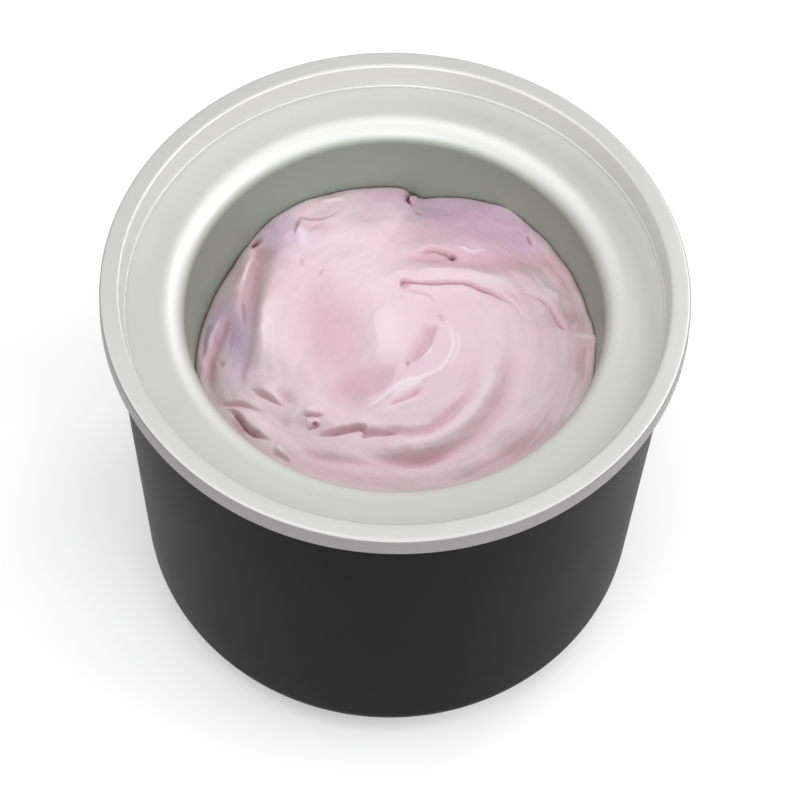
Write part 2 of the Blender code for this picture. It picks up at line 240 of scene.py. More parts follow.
def add_foot_seat(piece, name):
    """A boss inside the shell's floor, and the pocket and screw hole that run up into it."""
    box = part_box(name)
    under = SHELL_BASE - CUT_PAST
    above = BOSS_TOP + CUT_PAST
    seat = box[1][2] + POCKET_GAP
    radius = (box[1][0] - box[0][0]) / 2 + POCKET_GAP
    middle = SHELL_BASE + SHELL_FLOOR / 2
    boss = [(0, BOSS_TOP), (BOSS_RADIUS, BOSS_TOP), (BOSS_RADIUS, middle), (0, middle)]
    hole = [(0, above), (SCREW_HOLE, above), (SCREW_HOLE, HEAD_SEAT)]
    hole += [(HEAD_HOLE, HEAD_SEAT), (HEAD_HOLE, seat), (radius, seat), (radius, under), (0, under)]
    for outline, operation in ((boss, "UNION"), (hole, "DIFFERENCE")):
        helper = turned("helper", outline, False, FOOT_STEPS)
        helper.data.transform(Matrix.Translation(centre_of(box)))
        change = piece.modifiers.new("change", "BOOLEAN")
        change.operation = operation
        change.object = helper
        graph = bpy.context.evaluated_depsgraph_get()
        made = bpy.data.meshes.new_from_object(piece.evaluated_get(graph))
        piece.modifiers.clear()
        piece.data = made
        bpy.data.objects.remove(helper)
    piece.data.shade_smooth()


def centre_of(box):
    """Middle of a box seen from above, as a shift from the axis."""
    return Vector(((box[0][0] + box[1][0]) / 2, (box[0][1] + box[1][1]) / 2, 0))


def foot(name):
    """Round rubber foot with a softened tread."""
    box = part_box(name)
    radius = (box[1][0] - box[0][0]) / 2
    low, high = box[0][2], box[1][2]
    edge = arc((radius - FOOT_ROUNDING, low + FOOT_ROUNDING), FOOT_ROUNDING, 0, -90, 6)
    piece = turned("visual_" + name, [(0, high), (radius, high)] + edge + [(0, low)], False, FOOT_STEPS)
    piece.data.transform(Matrix.Translation(centre_of(box)))
    soften(piece)
    return piece


# ---- Camera, floor and light ----

# Camera, in rim radii from the middle of the rim's top
CAMERA_PLACE = Vector((0.064, -3.855, 5.6))
CAMERA_PITCH = math.radians(58.9)
CAMERA_YAW = math.radians(0.5)
CAMERA_ROLL = math.radians(2.4)
CAMERA_LENS = 90.75

# Brightness of the white surround
SURROUND = 0.65

# Softboxes: name, compass angle from +X, height angle, side in metres, power in watts
SOFTBOX_DISTANCE = 1.5
SOFTBOX_AIM = Vector((0, 0, 0.15))
SOFTBOXES = (
    ("front_left", -135, 15, 0.8, 5),
    ("front", -90, 15, 0.8, 10),
    ("front_right", -45, 15, 0.8, 7),
    ("right_low", 0, 15, 0.8, 6),
    ("right", 0, 40, 0.8, 2),
    ("back_right", 45, 40, 0.5, 3.5),
    ("left", 180, 40, 0.8, 1),
    ("left_high", 180, 68, 0.8, 2.5),
    ("overhead", 0, 90, 0.8, 2),
)


def make_camera():
    data = bpy.data.cameras.new("camera")
    data.sensor_width = 36
    data.lens = CAMERA_LENS
    data.clip_end = 20
    camera = bpy.data.objects.new("camera", data)
    turn = Matrix.Rotation(CAMERA_YAW, 4, "Z") @ Matrix.Rotation(math.pi / 2 - CAMERA_PITCH, 4, "X")
    turn = turn @ Matrix.Rotation(CAMERA_ROLL, 4, "Z")
    place = CAMERA_PLACE * RIM_RADIUS + Vector((0, 0, TOP))
    camera.matrix_world = Matrix.Translation(place) @ turn
    bpy.context.collection.objects.link(camera)
    bpy.context.scene.camera = camera


def area_light(name, place, aim, side, power):
    """A square softbox at a place, turned to shine at the aim."""
    data = bpy.data.lights.new(name, "AREA")
    data.shape = "RECTANGLE"
    data.size = side
    data.size_y = side
    data.energy = power
    lamp = bpy.data.objects.new(name, data)
    lamp.location = place
    lamp.rotation_euler = (aim - place).to_track_quat("-Z", "Y").to_euler()
    bpy.context.collection.objects.link(lamp)


def make_lights():
    """A white surround and a ring of softboxes, most of them low in front, all aimed at the bowl's middle."""
    world = bpy.data.worlds.new("studio")
    world.use_nodes = True
    world.node_tree.nodes["Background"].inputs["Color"].default_value = (1, 1, 1, 1)
    world.node_tree.nodes["Background"].inputs["Strength"].default_value = SURROUND
    bpy.context.scene.world = world
    for name, compass, rise, side, power in SOFTBOXES:
        flat = math.cos(math.radians(rise)) * SOFTBOX_DISTANCE
        turn = math.radians(compass)
        away = Vector((flat * math.cos(turn), flat * math.sin(turn),
                       SOFTBOX_DISTANCE * math.sin(math.radians(rise))))
        area_light(name, SOFTBOX_AIM + away, SOFTBOX_AIM, side, power)
    bpy.context.scene.view_settings.view_transform = "Standard"


def make_floor():
    mesh = bpy.data.meshes.new("floor")
    plane = bmesh.new()
    bmesh.ops.create_grid(plane, x_segments=1, y_segments=1, size=4)
    plane.to_mesh(mesh)
    plane.free()
    floor = bpy.data.objects.new("floor", mesh)
    bpy.context.collection.objects.link(floor)
    floor.data.materials.append(floor_finish())


# ---- Materials ----

class Nodes:
    """Short ways to add and join shader nodes in one material."""

    def __init__(self, name):
        self.material = bpy.data.materials.new(name)
        self.material.use_nodes = True
        self.tree = self.material.node_tree
        self.shader = self.tree.nodes["Principled BSDF"]
        self.place = self.add("ShaderNodeTexCoord").outputs["Object"]

    def add(self, kind, **settings):
        node = self.tree.nodes.new(kind)
        for key, value in settings.items():
            setattr(node, key, value)
        return node

    def join(self, start, end):
        self.tree.links.new(start, end)

    def set(self, **values):
        for key, value in values.items():
            self.shader.inputs[key.replace("_", " ")].default_value = value

    def height(self):
        split = self.add("ShaderNodeSeparateXYZ")
        self.join(self.place, split.inputs["Vector"])
        return split.outputs["Z"]

    def radius(self):
        """Distance from the Z axis."""
        flat = self.add("ShaderNodeVectorMath", operation="MULTIPLY")
        flat.inputs[1].default_value = (1, 1, 0)
        self.join(self.place, flat.inputs[0])
        length = self.add("ShaderNodeVectorMath", operation="LENGTH")
        self.join(flat.outputs["Vector"], length.inputs[0])
        return length.outputs["Value"]

    def product(self, first, second):
        node = self.add("ShaderNodeMath", operation="MULTIPLY")
        self.join(first, node.inputs[0])
        self.join(second, node.inputs[1])
        return node.outputs["Value"]

    def noise(self, scale, detail=2.0, roughness=0.5):
        node = self.add("ShaderNodeTexNoise")
        node.inputs["Scale"].default_value = scale
        node.inputs["Detail"].default_value = detail
        node.inputs["Roughness"].default_value = roughness
        self.join(self.place, node.inputs["Vector"])
        return node.outputs["Fac"]

    def ramp(self, value, low, high, start, end):
        """A value between start and end as the input goes from low to high."""
        node = self.add("ShaderNodeMapRange")
        self.join(value, node.inputs["Value"])
        node.inputs["From Min"].default_value = low
        node.inputs["From Max"].default_value = high
        node.inputs["To Min"].default_value = start
        node.inputs["To Max"].default_value = end
        return node.outputs["Result"]

    def mix(self, share, first, second):
        """Two colours mixed by a share. Each colour is a value or another node's output."""
        node = self.add("ShaderNodeMix", data_type="RGBA")
        self.join(share, node.inputs[0])
        for socket, colour in ((node.inputs[6], first), (node.inputs[7], second)):
            if isinstance(colour, tuple):
                socket.default_value = (*colour, 1)
            else:
                self.join(colour, socket)
        return node.outputs[2]

    def bump(self, height, distance, strength):
        node = self.add("ShaderNodeBump")
        node.inputs["Distance"].default_value = distance
        node.inputs["Strength"].default_value = strength
        self.join(height, node.inputs["Height"])
        return node.outputs["Normal"]


def floor_finish():
    n = Nodes("floor_finish")
    n.set(Roughness=0.25)
    tone = n.ramp(n.noise(3.0), 0.3, 0.7, 0.965, 0.98)
    n.join(tone, n.shader.inputs["Base Color"])
    return n.material


def pearl(n, dark, light, gloss):
    """Pearl coating shared by the collar and the bowl: fine grain, slight unevenness in tone and gloss."""
    cloud = n.noise(14, 3.0)
    n.join(n.ramp(cloud, 0.3, 0.7, *gloss), n.shader.inputs["Roughness"])
    n.join(n.bump(n.noise(2400, 2.0), 0.02 * MM, 0.35), n.shader.inputs["Normal"])
    n.set(Metallic=0.5, IOR=1.5)
    return n.mix(n.ramp(cloud, 0.3, 0.7, 0, 1), dark, light)


# Where the painted shade on the skirt starts and is full, in shares of the rim's rounding below the top; it
# also dims the rounding's outer part, which sets where the rounding's highlight line falls
SKIRT_SHADE_FROM = 0.12
SKIRT_SHADE_FULL = 0.42


def collar_finish():
    """Pearl on top, going over to a dark grey painted on the skirt's upright side as the shade it falls in.
    """
    n = Nodes("collar_finish")
    pale = pearl(n, (0.60, 0.60, 0.595), (0.63, 0.63, 0.625), (0.36, 0.42))
    skirt = n.ramp(n.height(), TOP - RIM_ROUNDING * SKIRT_SHADE_FROM, TOP - RIM_ROUNDING * SKIRT_SHADE_FULL, 0, 1)
    outside = n.ramp(n.radius(), RIM_RADIUS - 3 * MM, RIM_RADIUS - 2 * MM, 0, 1)
    share = n.product(skirt, outside)
    # painted shade: the dark grey mixed in on the skirt's upright side
    n.join(n.mix(share, pale, (0.19, 0.18, 0.185)), n.shader.inputs["Base Color"])
    return n.material


def bowl_finish():
    """The same pearl on the dish and lip with a painted highlight band on the lip, going over to a darker
    grey on the bowl's wall that is partly its own grey and partly painted shade.
    """
    n = Nodes("bowl_finish")
    pale = pearl(n, (0.59, 0.59, 0.585), (0.62, 0.62, 0.615), (0.48, 0.54))
    # painted highlight: a paler band on the lip's upper rounding
    lip_highlight_band = n.ramp(n.radius(), LIP_RADIUS, LIP_RADIUS - LIP_ROUNDING * 0.4, 0, 1)
    pale = n.mix(lip_highlight_band, pale, (0.72, 0.72, 0.715))
    # partly the bowl's own grey and partly painted shade: the lip's inner rounding and the wall go darker,
    # and the ramp starts on the lip to cut its highlight short
    depth = n.ramp(n.height(), LIP_TOP - LIP_ROUNDING * 0.22, LIP_TOP - LIP_ROUNDING * 0.85, 0, 1)
    # painted shade: the wall's grey is darkest just under the lip and lighter further down
    wall_shade_ramp = n.ramp(n.height(), LIP_TOP - LIP_ROUNDING, LIP_TOP - LIP_ROUNDING - 22 * MM, 0, 1)
    wall = n.mix(wall_shade_ramp, (0.27, 0.31, 0.265), (0.37, 0.425, 0.365))
    n.join(n.mix(depth, pale, wall), n.shader.inputs["Base Color"])
    return n.material


def shell_finish():
    """Charcoal moulded plastic, satin, with a fine even grain."""
    n = Nodes("shell_finish")
    grain = n.noise(1900, 3.0, 0.6)
    cloud = n.noise(9, 3.0)
    n.join(n.mix(n.ramp(cloud, 0.3, 0.7, 0, 1), (0.0012, 0.0012, 0.0013), (0.0015, 0.0015, 0.0016)),
           n.shader.inputs["Base Color"])
    n.join(n.ramp(cloud, 0.3, 0.7, 0.36, 0.42), n.shader.inputs["Roughness"])
    n.join(n.bump(grain, 0.03 * MM, 0.4), n.shader.inputs["Normal"])
    n.set(Specular_IOR_Level=0.03)
    return n.material


def plain_finish(name, dark, light, roughness, grain_scale, metallic=0.0):
    """A small or hidden piece's material: mottled tone, uneven gloss and a grain."""
    n = Nodes(name)
    cloud = n.noise(60, 3.0)
    share = n.ramp(cloud, 0.3, 0.7, 0, 1)
    n.join(n.mix(share, dark, light), n.shader.inputs["Base Color"])
    n.join(n.ramp(cloud, 0.3, 0.7, roughness - 0.05, roughness + 0.05), n.shader.inputs["Roughness"])
    n.join(n.bump(n.noise(grain_scale, 2.0), 0.05 * MM, 0.4), n.shader.inputs["Normal"])
    n.set(Metallic=metallic)
    return n.material


def batch_finish():
    """Pink ice cream: soft light through it, tinted where the strokes say. The strokes' tint is painted shade
    as deeper pink and dark mauve in folds and cuts, darkest in the deepest, painted highlight as pale pink on
    crests, and in a few places the ice's own deeper pink and a red berry speck.
    """
    n = Nodes("batch_finish")
    cloud = n.noise(28, 3.0, 0.55)
    pink = n.mix(n.ramp(cloud, 0.35, 0.65, 0, 1), (0.765, 0.585, 0.65), (0.795, 0.63, 0.69))
    tint_and_painted_light = n.add("ShaderNodeAttribute", attribute_name="tint_and_painted_light").outputs["Fac"]
    lilac = n.add("ShaderNodeAttribute", attribute_name="lilac").outputs["Fac"]
    # painted highlight: below 0 the tint turns pale on crests and edges
    pink = n.mix(n.ramp(tint_and_painted_light, 0, -1.0, 0, 1), pink, (0.92, 0.82, 0.86))
    pink = n.mix(n.ramp(lilac, 0, 1, 0, 1), pink, (0.60, 0.43, 0.63))
    # painted shade in folds and grooves as deeper pink, and in some patches the ice's own deeper pink
    pink = n.mix(n.ramp(tint_and_painted_light, 0, 1.0, 0, 1), pink, (0.68, 0.435, 0.51))
    # painted shade: dark mauve in the cuts and troughs
    pink = n.mix(n.ramp(tint_and_painted_light, 1.0, 2.2, 0, 1), pink, (0.32, 0.16, 0.21))
    # a red berry speck, the ice's own colour
    pink = n.mix(n.ramp(tint_and_painted_light, 2.6, 3.4, 0, 1), pink, (0.45, 0.0, 0.04))
    n.join(pink, n.shader.inputs["Base Color"])
    n.set(Subsurface_Weight=0.3, Subsurface_Radius=(1.0, 0.55, 0.6), Subsurface_Scale=0.0025, IOR=1.36)
    n.join(n.ramp(n.noise(90, 3.0), 0.3, 0.7, 0.42, 0.58), n.shader.inputs["Roughness"])
    fine = n.noise(420, 4.0, 0.6)
    n.join(n.bump(fine, 0.10 * MM, 0.5), n.shader.inputs["Normal"])
    return n.material


# ---- Frozen batch: a height field worked by strokes, which also paint shade and highlights into its colour ----

def smooth_path(points, per_span=10):
    """A smooth curve through the points, as (x, y) rows."""
    p = np.array([points[0]] + list(points) + [points[-1]], float)
    rows = []
    for i in range(1, len(p) - 2):
        t = np.linspace(0, 1, per_span, endpoint=False)[:, None]
        a, b, c, d = p[i - 1], p[i], p[i + 1], p[i + 2]
        rows.append(0.5 * (2 * b + (c - a) * t + (2 * a - 5 * b + 4 * c - d) * t**2
                           + (3 * b - a - 3 * c + d) * t**3))
    return np.vstack(rows + [p[-2:-1]])


def ripple(x, y, scale, seed, waves=14):
    """Smooth random unevenness between about -1 and 1, of the given wavelength."""
    dice = np.random.default_rng(seed)
    total = np.zeros_like(x)
    for _ in range(waves):
        way = dice.uniform(0, 2 * math.pi)
        length = scale * dice.uniform(0.7, 1.5)
        phase = dice.uniform(0, 2 * math.pi)
        total += np.sin(2 * math.pi * (x * math.cos(way) + y * math.sin(way)) / length + phase)
    return total / math.sqrt(waves)


def fade(along, start, end):
    """1 in the middle of a stroke, falling softly to 0 over the start and end shares."""
    rise = np.clip(along / max(start, 1e-6), 0, 1)
    fall = np.clip((1 - along) / max(end, 1e-6), 0, 1)
    return (rise * rise * (3 - 2 * rise)) * (fall * fall * (3 - 2 * fall))


class Surface:
    """The batch's upper surface. Places are in rim radii from the axis and heights in millimetres."""

    def __init__(self, cells):
        steps = np.linspace(-1, 1, cells + 1)
        u, v = np.meshgrid(steps, steps)
        wide = np.abs(u) > np.abs(v)
        radius = np.where(wide, np.abs(u), np.abs(v))
        with np.errstate(divide="ignore", invalid="ignore"):
            turn_wide = math.pi / 4 * v / u
            turn_tall = math.pi / 2 - math.pi / 4 * u / v
        turn = np.where(wide, turn_wide, turn_tall)
        turn = np.where(radius == 0, 0, turn)
        sign = np.where(wide, np.sign(u), np.sign(v))
        self.share = radius
        self.true_x = sign * radius * np.cos(turn) * EDGE
        self.true_y = sign * radius * np.sin(turn) * EDGE
        self.height = np.zeros_like(self.true_x)
        # tint channel: above 0 painted shade and some of the ice's own deeper pink, below 0 painted
        # highlight, near 3 a red berry speck
        self.tint_and_painted_light = np.zeros_like(self.true_x)
        self.lilac = np.zeros_like(self.true_x)

    def look_from_camera(self):
        """Strokes are laid out on a level plane as the camera sees it, with a slight waviness."""
        plane = PLANE_HEIGHT / MM
        eye = np.array(CAMERA_PLACE) * RIM_RADIUS / MM + np.array((0, 0, TOP / MM))
        share = (self.height - plane) / (eye[2] - plane)
        eye_x, eye_y = eye[0] * MM / RIM_RADIUS, eye[1] * MM / RIM_RADIUS
        self.x = (self.true_x - share * eye_x) / (1 - share)
        self.y = (self.true_y - share * eye_y) / (1 - share)
        x, y = self.x, self.y
        self.x = x + BROAD_SWAY * ripple(x, y, 0.09, 1) + FINE_SWAY * ripple(x, y, 0.022, 2)
        self.y = y + BROAD_SWAY * ripple(x, y, 0.09, 3) + FINE_SWAY * ripple(x, y, 0.022, 4)

    def near(self, points):
        """For each place: distance from the stroke, signed + on its left, and how far along it, 0 to 1."""
        path = smooth_path(points)
        spans = np.diff(path, axis=0)
        lengths = np.hypot(*spans.T)
        before = np.concatenate([[0], np.cumsum(lengths)])
        best = np.full(self.x.shape, 9.0)
        side = np.zeros_like(best)
        along = np.zeros_like(best)
        for start, span, length, done in zip(path[:-1], spans, lengths, before):
            dx, dy = self.x - start[0], self.y - start[1]
            share = np.clip((dx * span[0] + dy * span[1]) / length**2, 0, 1)
            gap = np.hypot(dx - share * span[0], dy - share * span[1])
            closer = gap < best
            best = np.where(closer, gap, best)
            side = np.where(closer, np.sign(span[0] * dy - span[1] * dx), side)
            along = np.where(closer, done + share * length, along)
        return best, side, along / before[-1]

    def ridge(self, points, width, height, ends, tint_and_painted_light):
        """A soft rounded ridge, or a groove when the height is below 0."""
        gap, _, along = self.near(points)
        shape = np.exp(-((gap / width) ** 2)) * fade(along, *ends)
        self.height += height * shape
        # the tint paints shade when above 0 and a highlight when below 0
        self.tint_and_painted_light += tint_and_painted_light * shape

    def fold(self, points, width, height, crisp, ends, tint_and_painted_light=0.0):
        """A flap: it stands up sharply on the stroke's left and sinks back over the width."""
        gap, side, along = self.near(points)
        signed = gap * side
        step = 1 / (1 + np.exp(-np.clip(signed / crisp, -30, 30)))
        strength = fade(along, *ends)
        self.height += height * step * np.exp(-((np.maximum(signed, 0) / width) ** 2)) * strength
        # painted shade along the fold's foot
        self.tint_and_painted_light += tint_and_painted_light * np.exp(-((signed / (1.5 * crisp) + 1) ** 2)) * strength

    def crease(self, points, depth, width, lip=0.0, ends=(0.2, 0.3), tint_and_painted_light=1.0, reach=6.0):
        """A narrow cut. Its left side rises to a rounded lip that sinks back over the reach, in widths."""
        gap, side, along = self.near(points)
        strength = fade(along, *ends)
        signed = gap * side / (width * (0.55 + 0.45 * strength))
        wall = np.where(signed > 0, 0.8, 1.5)
        self.height -= depth * np.exp(-((signed / wall) ** 2)) * strength
        rise = np.clip(signed / 1.6, 0, 1)
        back = np.clip(signed - 1.6, 0, None) / reach
        self.height += lip * rise * rise * (3 - 2 * rise) * np.exp(-(back**2)) * strength
        # painted shade in the cut
        self.tint_and_painted_light += tint_and_painted_light * np.exp(-(((signed + 0.2) / 1.1) ** 2)) * strength

    def patch(self, centre, size, turn, height, tint_and_painted_light, lilac=0.0, hard=2.0):
        """A soft-edged oval, raised or sunk, and tinted."""
        tilt = math.radians(turn)
        dx, dy = self.x - centre[0], self.y - centre[1]
        along = (dx * math.cos(tilt) + dy * math.sin(tilt)) / size[0]
        across = (dy * math.cos(tilt) - dx * math.sin(tilt)) / size[1]
        shape = np.exp(-((along**2 + across**2) ** (hard / 2)))
        self.height += height * shape
        # tint: painted shade above 0, painted highlight below 0, a berry speck near 3
        self.tint_and_painted_light += tint_and_painted_light * shape
        self.lilac += lilac * shape


# Radius of the surface's edge, in rim radii
EDGE = (wall_radius(BATCH[1][2] - 4 * MM) - BATCH_GAP) / RIM_RADIUS

# How far the strokes sway from their lines, in rim radii
BROAD_SWAY = 0.0016
FINE_SWAY = 0.0005

# The level plane on which the strokes below are laid out
PLANE_HEIGHT = TOP - 0.42 * RIM_RADIUS

# The heap's own heights in millimetres: its middle, the dome on it and the drop that rounds its edge
MIDDLE_HEIGHT = 144.5
CROWN = 3.0
EDGE_DROP = 1.4
EDGE_DROP_REACH = 0.012

# Height of the batch at the wall, in millimetres above the ground, at compass angles from +X
WALL_LINE = ((0, 147), (8, 147.5), (15, 143.5), (25, 145.5), (45, 146.5), (58, 148.5), (70, 143), (84, 135.5),
             (90, 139.5), (110, 143), (132, 144), (142, 137.5), (150, 133), (170, 130), (190, 130),
             (215, 135.5), (250, 140), (300, 141.5), (335, 144))


def wall_height(turn):
    """Height along the wall at each angle, smooth and closed round the circle."""
    angles = np.array([a for a, _ in WALL_LINE], float)
    heights = np.array([h for _, h in WALL_LINE], float)
    angles = np.concatenate([angles - 360, angles, angles + 360])
    heights = np.tile(heights, 3)
    total = np.zeros_like(turn)
    for shift in (-2, -1, 0, 1, 2):
        total += np.interp(np.mod(turn + shift, 360), angles, heights)
    return total / 5


def broad_form(s):
    """The heap as a whole: level with the wall line outside, gently domed in the middle."""
    x, y = s.true_x, s.true_y
    turn = np.degrees(np.arctan2(y, x))
    blend = np.clip((s.share - 0.35) / 0.65, 0, 1) ** 1.6
    s.height = MIDDLE_HEIGHT + (wall_height(turn) - MIDDLE_HEIGHT) * blend
    s.height += CROWN * np.exp(-(((x - 0.02) / 0.5) ** 2 + ((y - 0.05) / 0.45) ** 2))


def left_gutter(s):
    """The drop on the left of the heap, the flap along the wall beyond it and their grooves. Painted shade
    darkens the troughs, grooves, a pit, the heap's shoulder and the notch by the wall; painted highlights
    pale the flap's edges and the heap's rim.
    """
    shoulder = [(-0.475, 0.43), (-0.47, 0.34), (-0.48, 0.25), (-0.49, 0.16), (-0.495, 0.06), (-0.49, -0.05),
                (-0.48, -0.15)]
    s.fold(shoulder, 0.085, 4.6, 0.016, (0.12, 0.25))
    drop = [(-0.48, 0.26), (-0.49, 0.16), (-0.495, 0.04), (-0.50, -0.08), (-0.515, -0.16), (-0.495, -0.21)]
    s.fold(drop, 0.06, 1.5, 0.0045, (0.25, 0.15), 0.35)
    s.ridge([(-0.462, 0.20), (-0.470, 0.08), (-0.468, -0.03), (-0.462, -0.12), (-0.43, -0.18)],
            0.018, 0.8, (0.3, 0.3), -0.2)
    trough = [(-0.508, 0.41), (-0.510, 0.33), (-0.516, 0.24), (-0.520, 0.15), (-0.512, 0.06), (-0.500, -0.01)]
    # painted shade in the trough beside the flap
    s.ridge(trough, 0.030, -1.6, (0.05, 0.45), 0.8)
    flap = [(-0.517, 0.40), (-0.532, 0.32), (-0.549, 0.22), (-0.554, 0.15), (-0.545, 0.10)]
    s.fold(flap[::-1], 0.05, 1.9, 0.0045, (0.35, 0.08), 0.45)
    # painted highlight along the flap's edge
    s.ridge([(-0.528, 0.36), (-0.547, 0.29), (-0.559, 0.21)], 0.006, 0.3, (0.3, 0.2), -0.9)
    s.crease([(-0.552, 0.17), (-0.545, 0.11), (-0.53, 0.04)], 0.8, 0.0065, 0.6, (0.3, 0.4), 0.5)
    band = [(-0.598, 0.12), (-0.610, 0.05), (-0.630, -0.03), (-0.642, -0.10), (-0.643, -0.17),
            (-0.628, -0.26)]
    s.ridge(band, 0.020, -3.0, (0.25, 0.3), 0.9)
    s.fold(band[::-1], 0.045, 1.8, 0.006, (0.3, 0.25))
    s.ridge([(-0.62, 0.10), (-0.642, 0.02), (-0.655, -0.06)], 0.007, 0.4, (0.3, 0.3), -0.9)
    s.ridge([(-0.665, 0.06), (-0.672, -0.02), (-0.672, -0.12)], 0.010, -0.8, (0.3, 0.3), 0.6)
    s.ridge([(-0.57, 0.07), (-0.58, 0.0), (-0.59, -0.08)], 0.010, -0.5, (0.4, 0.4), 0.35)
    # painted shade in a pit and, darkest, in the notch by the wall
    s.patch((-0.602, -0.115), (0.008, 0.012), 0, -1.0, 1.3)
    s.patch((-0.527, 0.424), (0.020, 0.012), 50, -5.0, 2.2)
    # painted shade on the heap's shoulder
    s.patch((-0.455, 0.355), (0.035, 0.06), 25, -1.2, 0.5)
    s.patch((-0.50, -0.13), (0.03, 0.05), 0, 0, 0.3)


def lower_left(s):
    """Torn creases where the spatula left the bowl's near left side, with painted shade in the creases and
    painted highlights on the raised edges between them.
    """
    s.crease([(-0.495, -0.208), (-0.45, -0.226), (-0.41, -0.247), (-0.36, -0.275)], 1.7, 0.0070, 1.6,
             (0.35, 0.45), 0.85)
    s.patch((-0.375, -0.232), (0.040, 0.026), -35, -2.0, 0.55)
    s.crease([(-0.60, -0.292), (-0.57, -0.276), (-0.53, -0.272), (-0.48, -0.286), (-0.42, -0.30)],
             1.4, 0.007, 1.2, (0.2, 0.5), 0.7)
    s.crease([(-0.575, -0.306), (-0.545, -0.303), (-0.52, -0.33), (-0.49, -0.367), (-0.45, -0.395),
              (-0.40, -0.418)], 2.8, 0.0070, 2.0, (0.3, 0.35), 1.5)
    s.ridge([(-0.555, -0.325), (-0.53, -0.36), (-0.49, -0.40)], 0.014, -0.8, (0.3, 0.3), 0.7)
    s.ridge([(-0.33, -0.447), (-0.25, -0.465), (-0.16, -0.476), (-0.06, -0.484), (0.03, -0.49)], 0.018, -1.2,
            (0.3, 0.4), 0.5)
    s.crease([(-0.40, -0.468), (-0.36, -0.475), (-0.33, -0.492)], 0.8, 0.008, 0.6, (0.3, 0.3), 0.6)
    s.patch((-0.375, -0.445), (0.022, 0.007), -40, 0.7, -0.5)
    s.ridge([(-0.37, -0.345), (-0.32, -0.305), (-0.25, -0.275)], 0.018, 1.8, (0.3, 0.3), -0.3)


def hollow(s):
    """The scooped oval in the middle with painted shade in it, its lobe painted pale as a highlight, and the
    second, narrower scoop, also in painted shade with painted highlights on its edges.
    """
    s.patch((-0.205, 0.04), (0.125, 0.235), 14, -3.4, 0.35, 0, 2.6)
    s.patch((-0.230, 0.06), (0.095, 0.215), 17, 0, 0.35, 0, 3.6)
    s.patch((-0.09, -0.155), (0.13, 0.075), 24, -3.2, 0.30, 0, 3.0)
    s.patch((-0.10, -0.15), (0.12, 0.06), 26, 0, 0.35, 0, 5.0)
    # painted highlight: the lobe is tinted pale
    s.ridge([(-0.04, 0.24), (-0.03, 0.10), (-0.04, 0.0), (-0.09, -0.10)], 0.065, 1.4, (0.4, 0.5), -0.35)
    scoop = [(0.140, 0.11), (0.118, 0.06), (0.095, 0.0), (0.06, -0.06), (0.03, -0.11)]
    s.ridge(scoop, 0.028, -3.0, (0.15, 0.4), 0.75)
    s.crease([(0.156, 0.125), (0.140, 0.06), (0.120, -0.005), (0.085, -0.05), (0.05, -0.075)],
             0.3, 0.006, 1.6, (0.15, 0.3), 0.0)
    s.ridge([(0.135, 0.01), (0.122, -0.02), (0.10, -0.045)], 0.005, 0.4, (0.3, 0.3), -0.8)
    s.crease([(0.138, 0.138), (0.157, 0.138), (0.168, 0.122), (0.18, 0.10)], 1.0, 0.007, 0.0, (0.3, 0.5), 0.7)
    s.crease([(0.052, -0.055), (0.053, -0.075), (0.058, -0.092)], 1.0, 0.005)


def crest(s):
    """The thin crest round the hollow, painted pale along its top as a highlight, thickening into a lobe,
    with a fold under it in painted shade.
    """
    line = [(0.165, 0.14), (0.195, 0.09), (0.208, 0.03), (0.204, -0.02), (0.178, -0.07), (0.14, -0.108),
            (0.09, -0.130), (0.045, -0.148), (0.0, -0.188), (-0.04, -0.230), (-0.085, -0.270),
            (-0.13, -0.293)]
    s.fold(line[::-1], 0.07, 3.6, 0.007, (0.2, 0.2))
    # painted highlight along the crest
    s.ridge(line, 0.007, 0.7, (0.2, 0.2), -0.6)
    s.ridge([(0.222, 0.09), (0.230, 0.02), (0.218, -0.04), (0.19, -0.09)], 0.007, 0.4, (0.3, 0.3), -0.4)
    s.ridge([(0.12, -0.135), (0.07, -0.155), (0.03, -0.185), (-0.01, -0.222)], 0.018, 1.0, (0.3, 0.3), -0.55)
    s.crease([(0.12, -0.160), (0.075, -0.197), (0.03, -0.228), (-0.02, -0.256)],
             1.6, 0.008, 0.0, (0.3, 0.3), 0.9)
    s.ridge([(0.10, -0.19), (0.05, -0.232), (0.0, -0.262), (-0.06, -0.29)], 0.016, 0.8, (0.3, 0.3), -0.3)


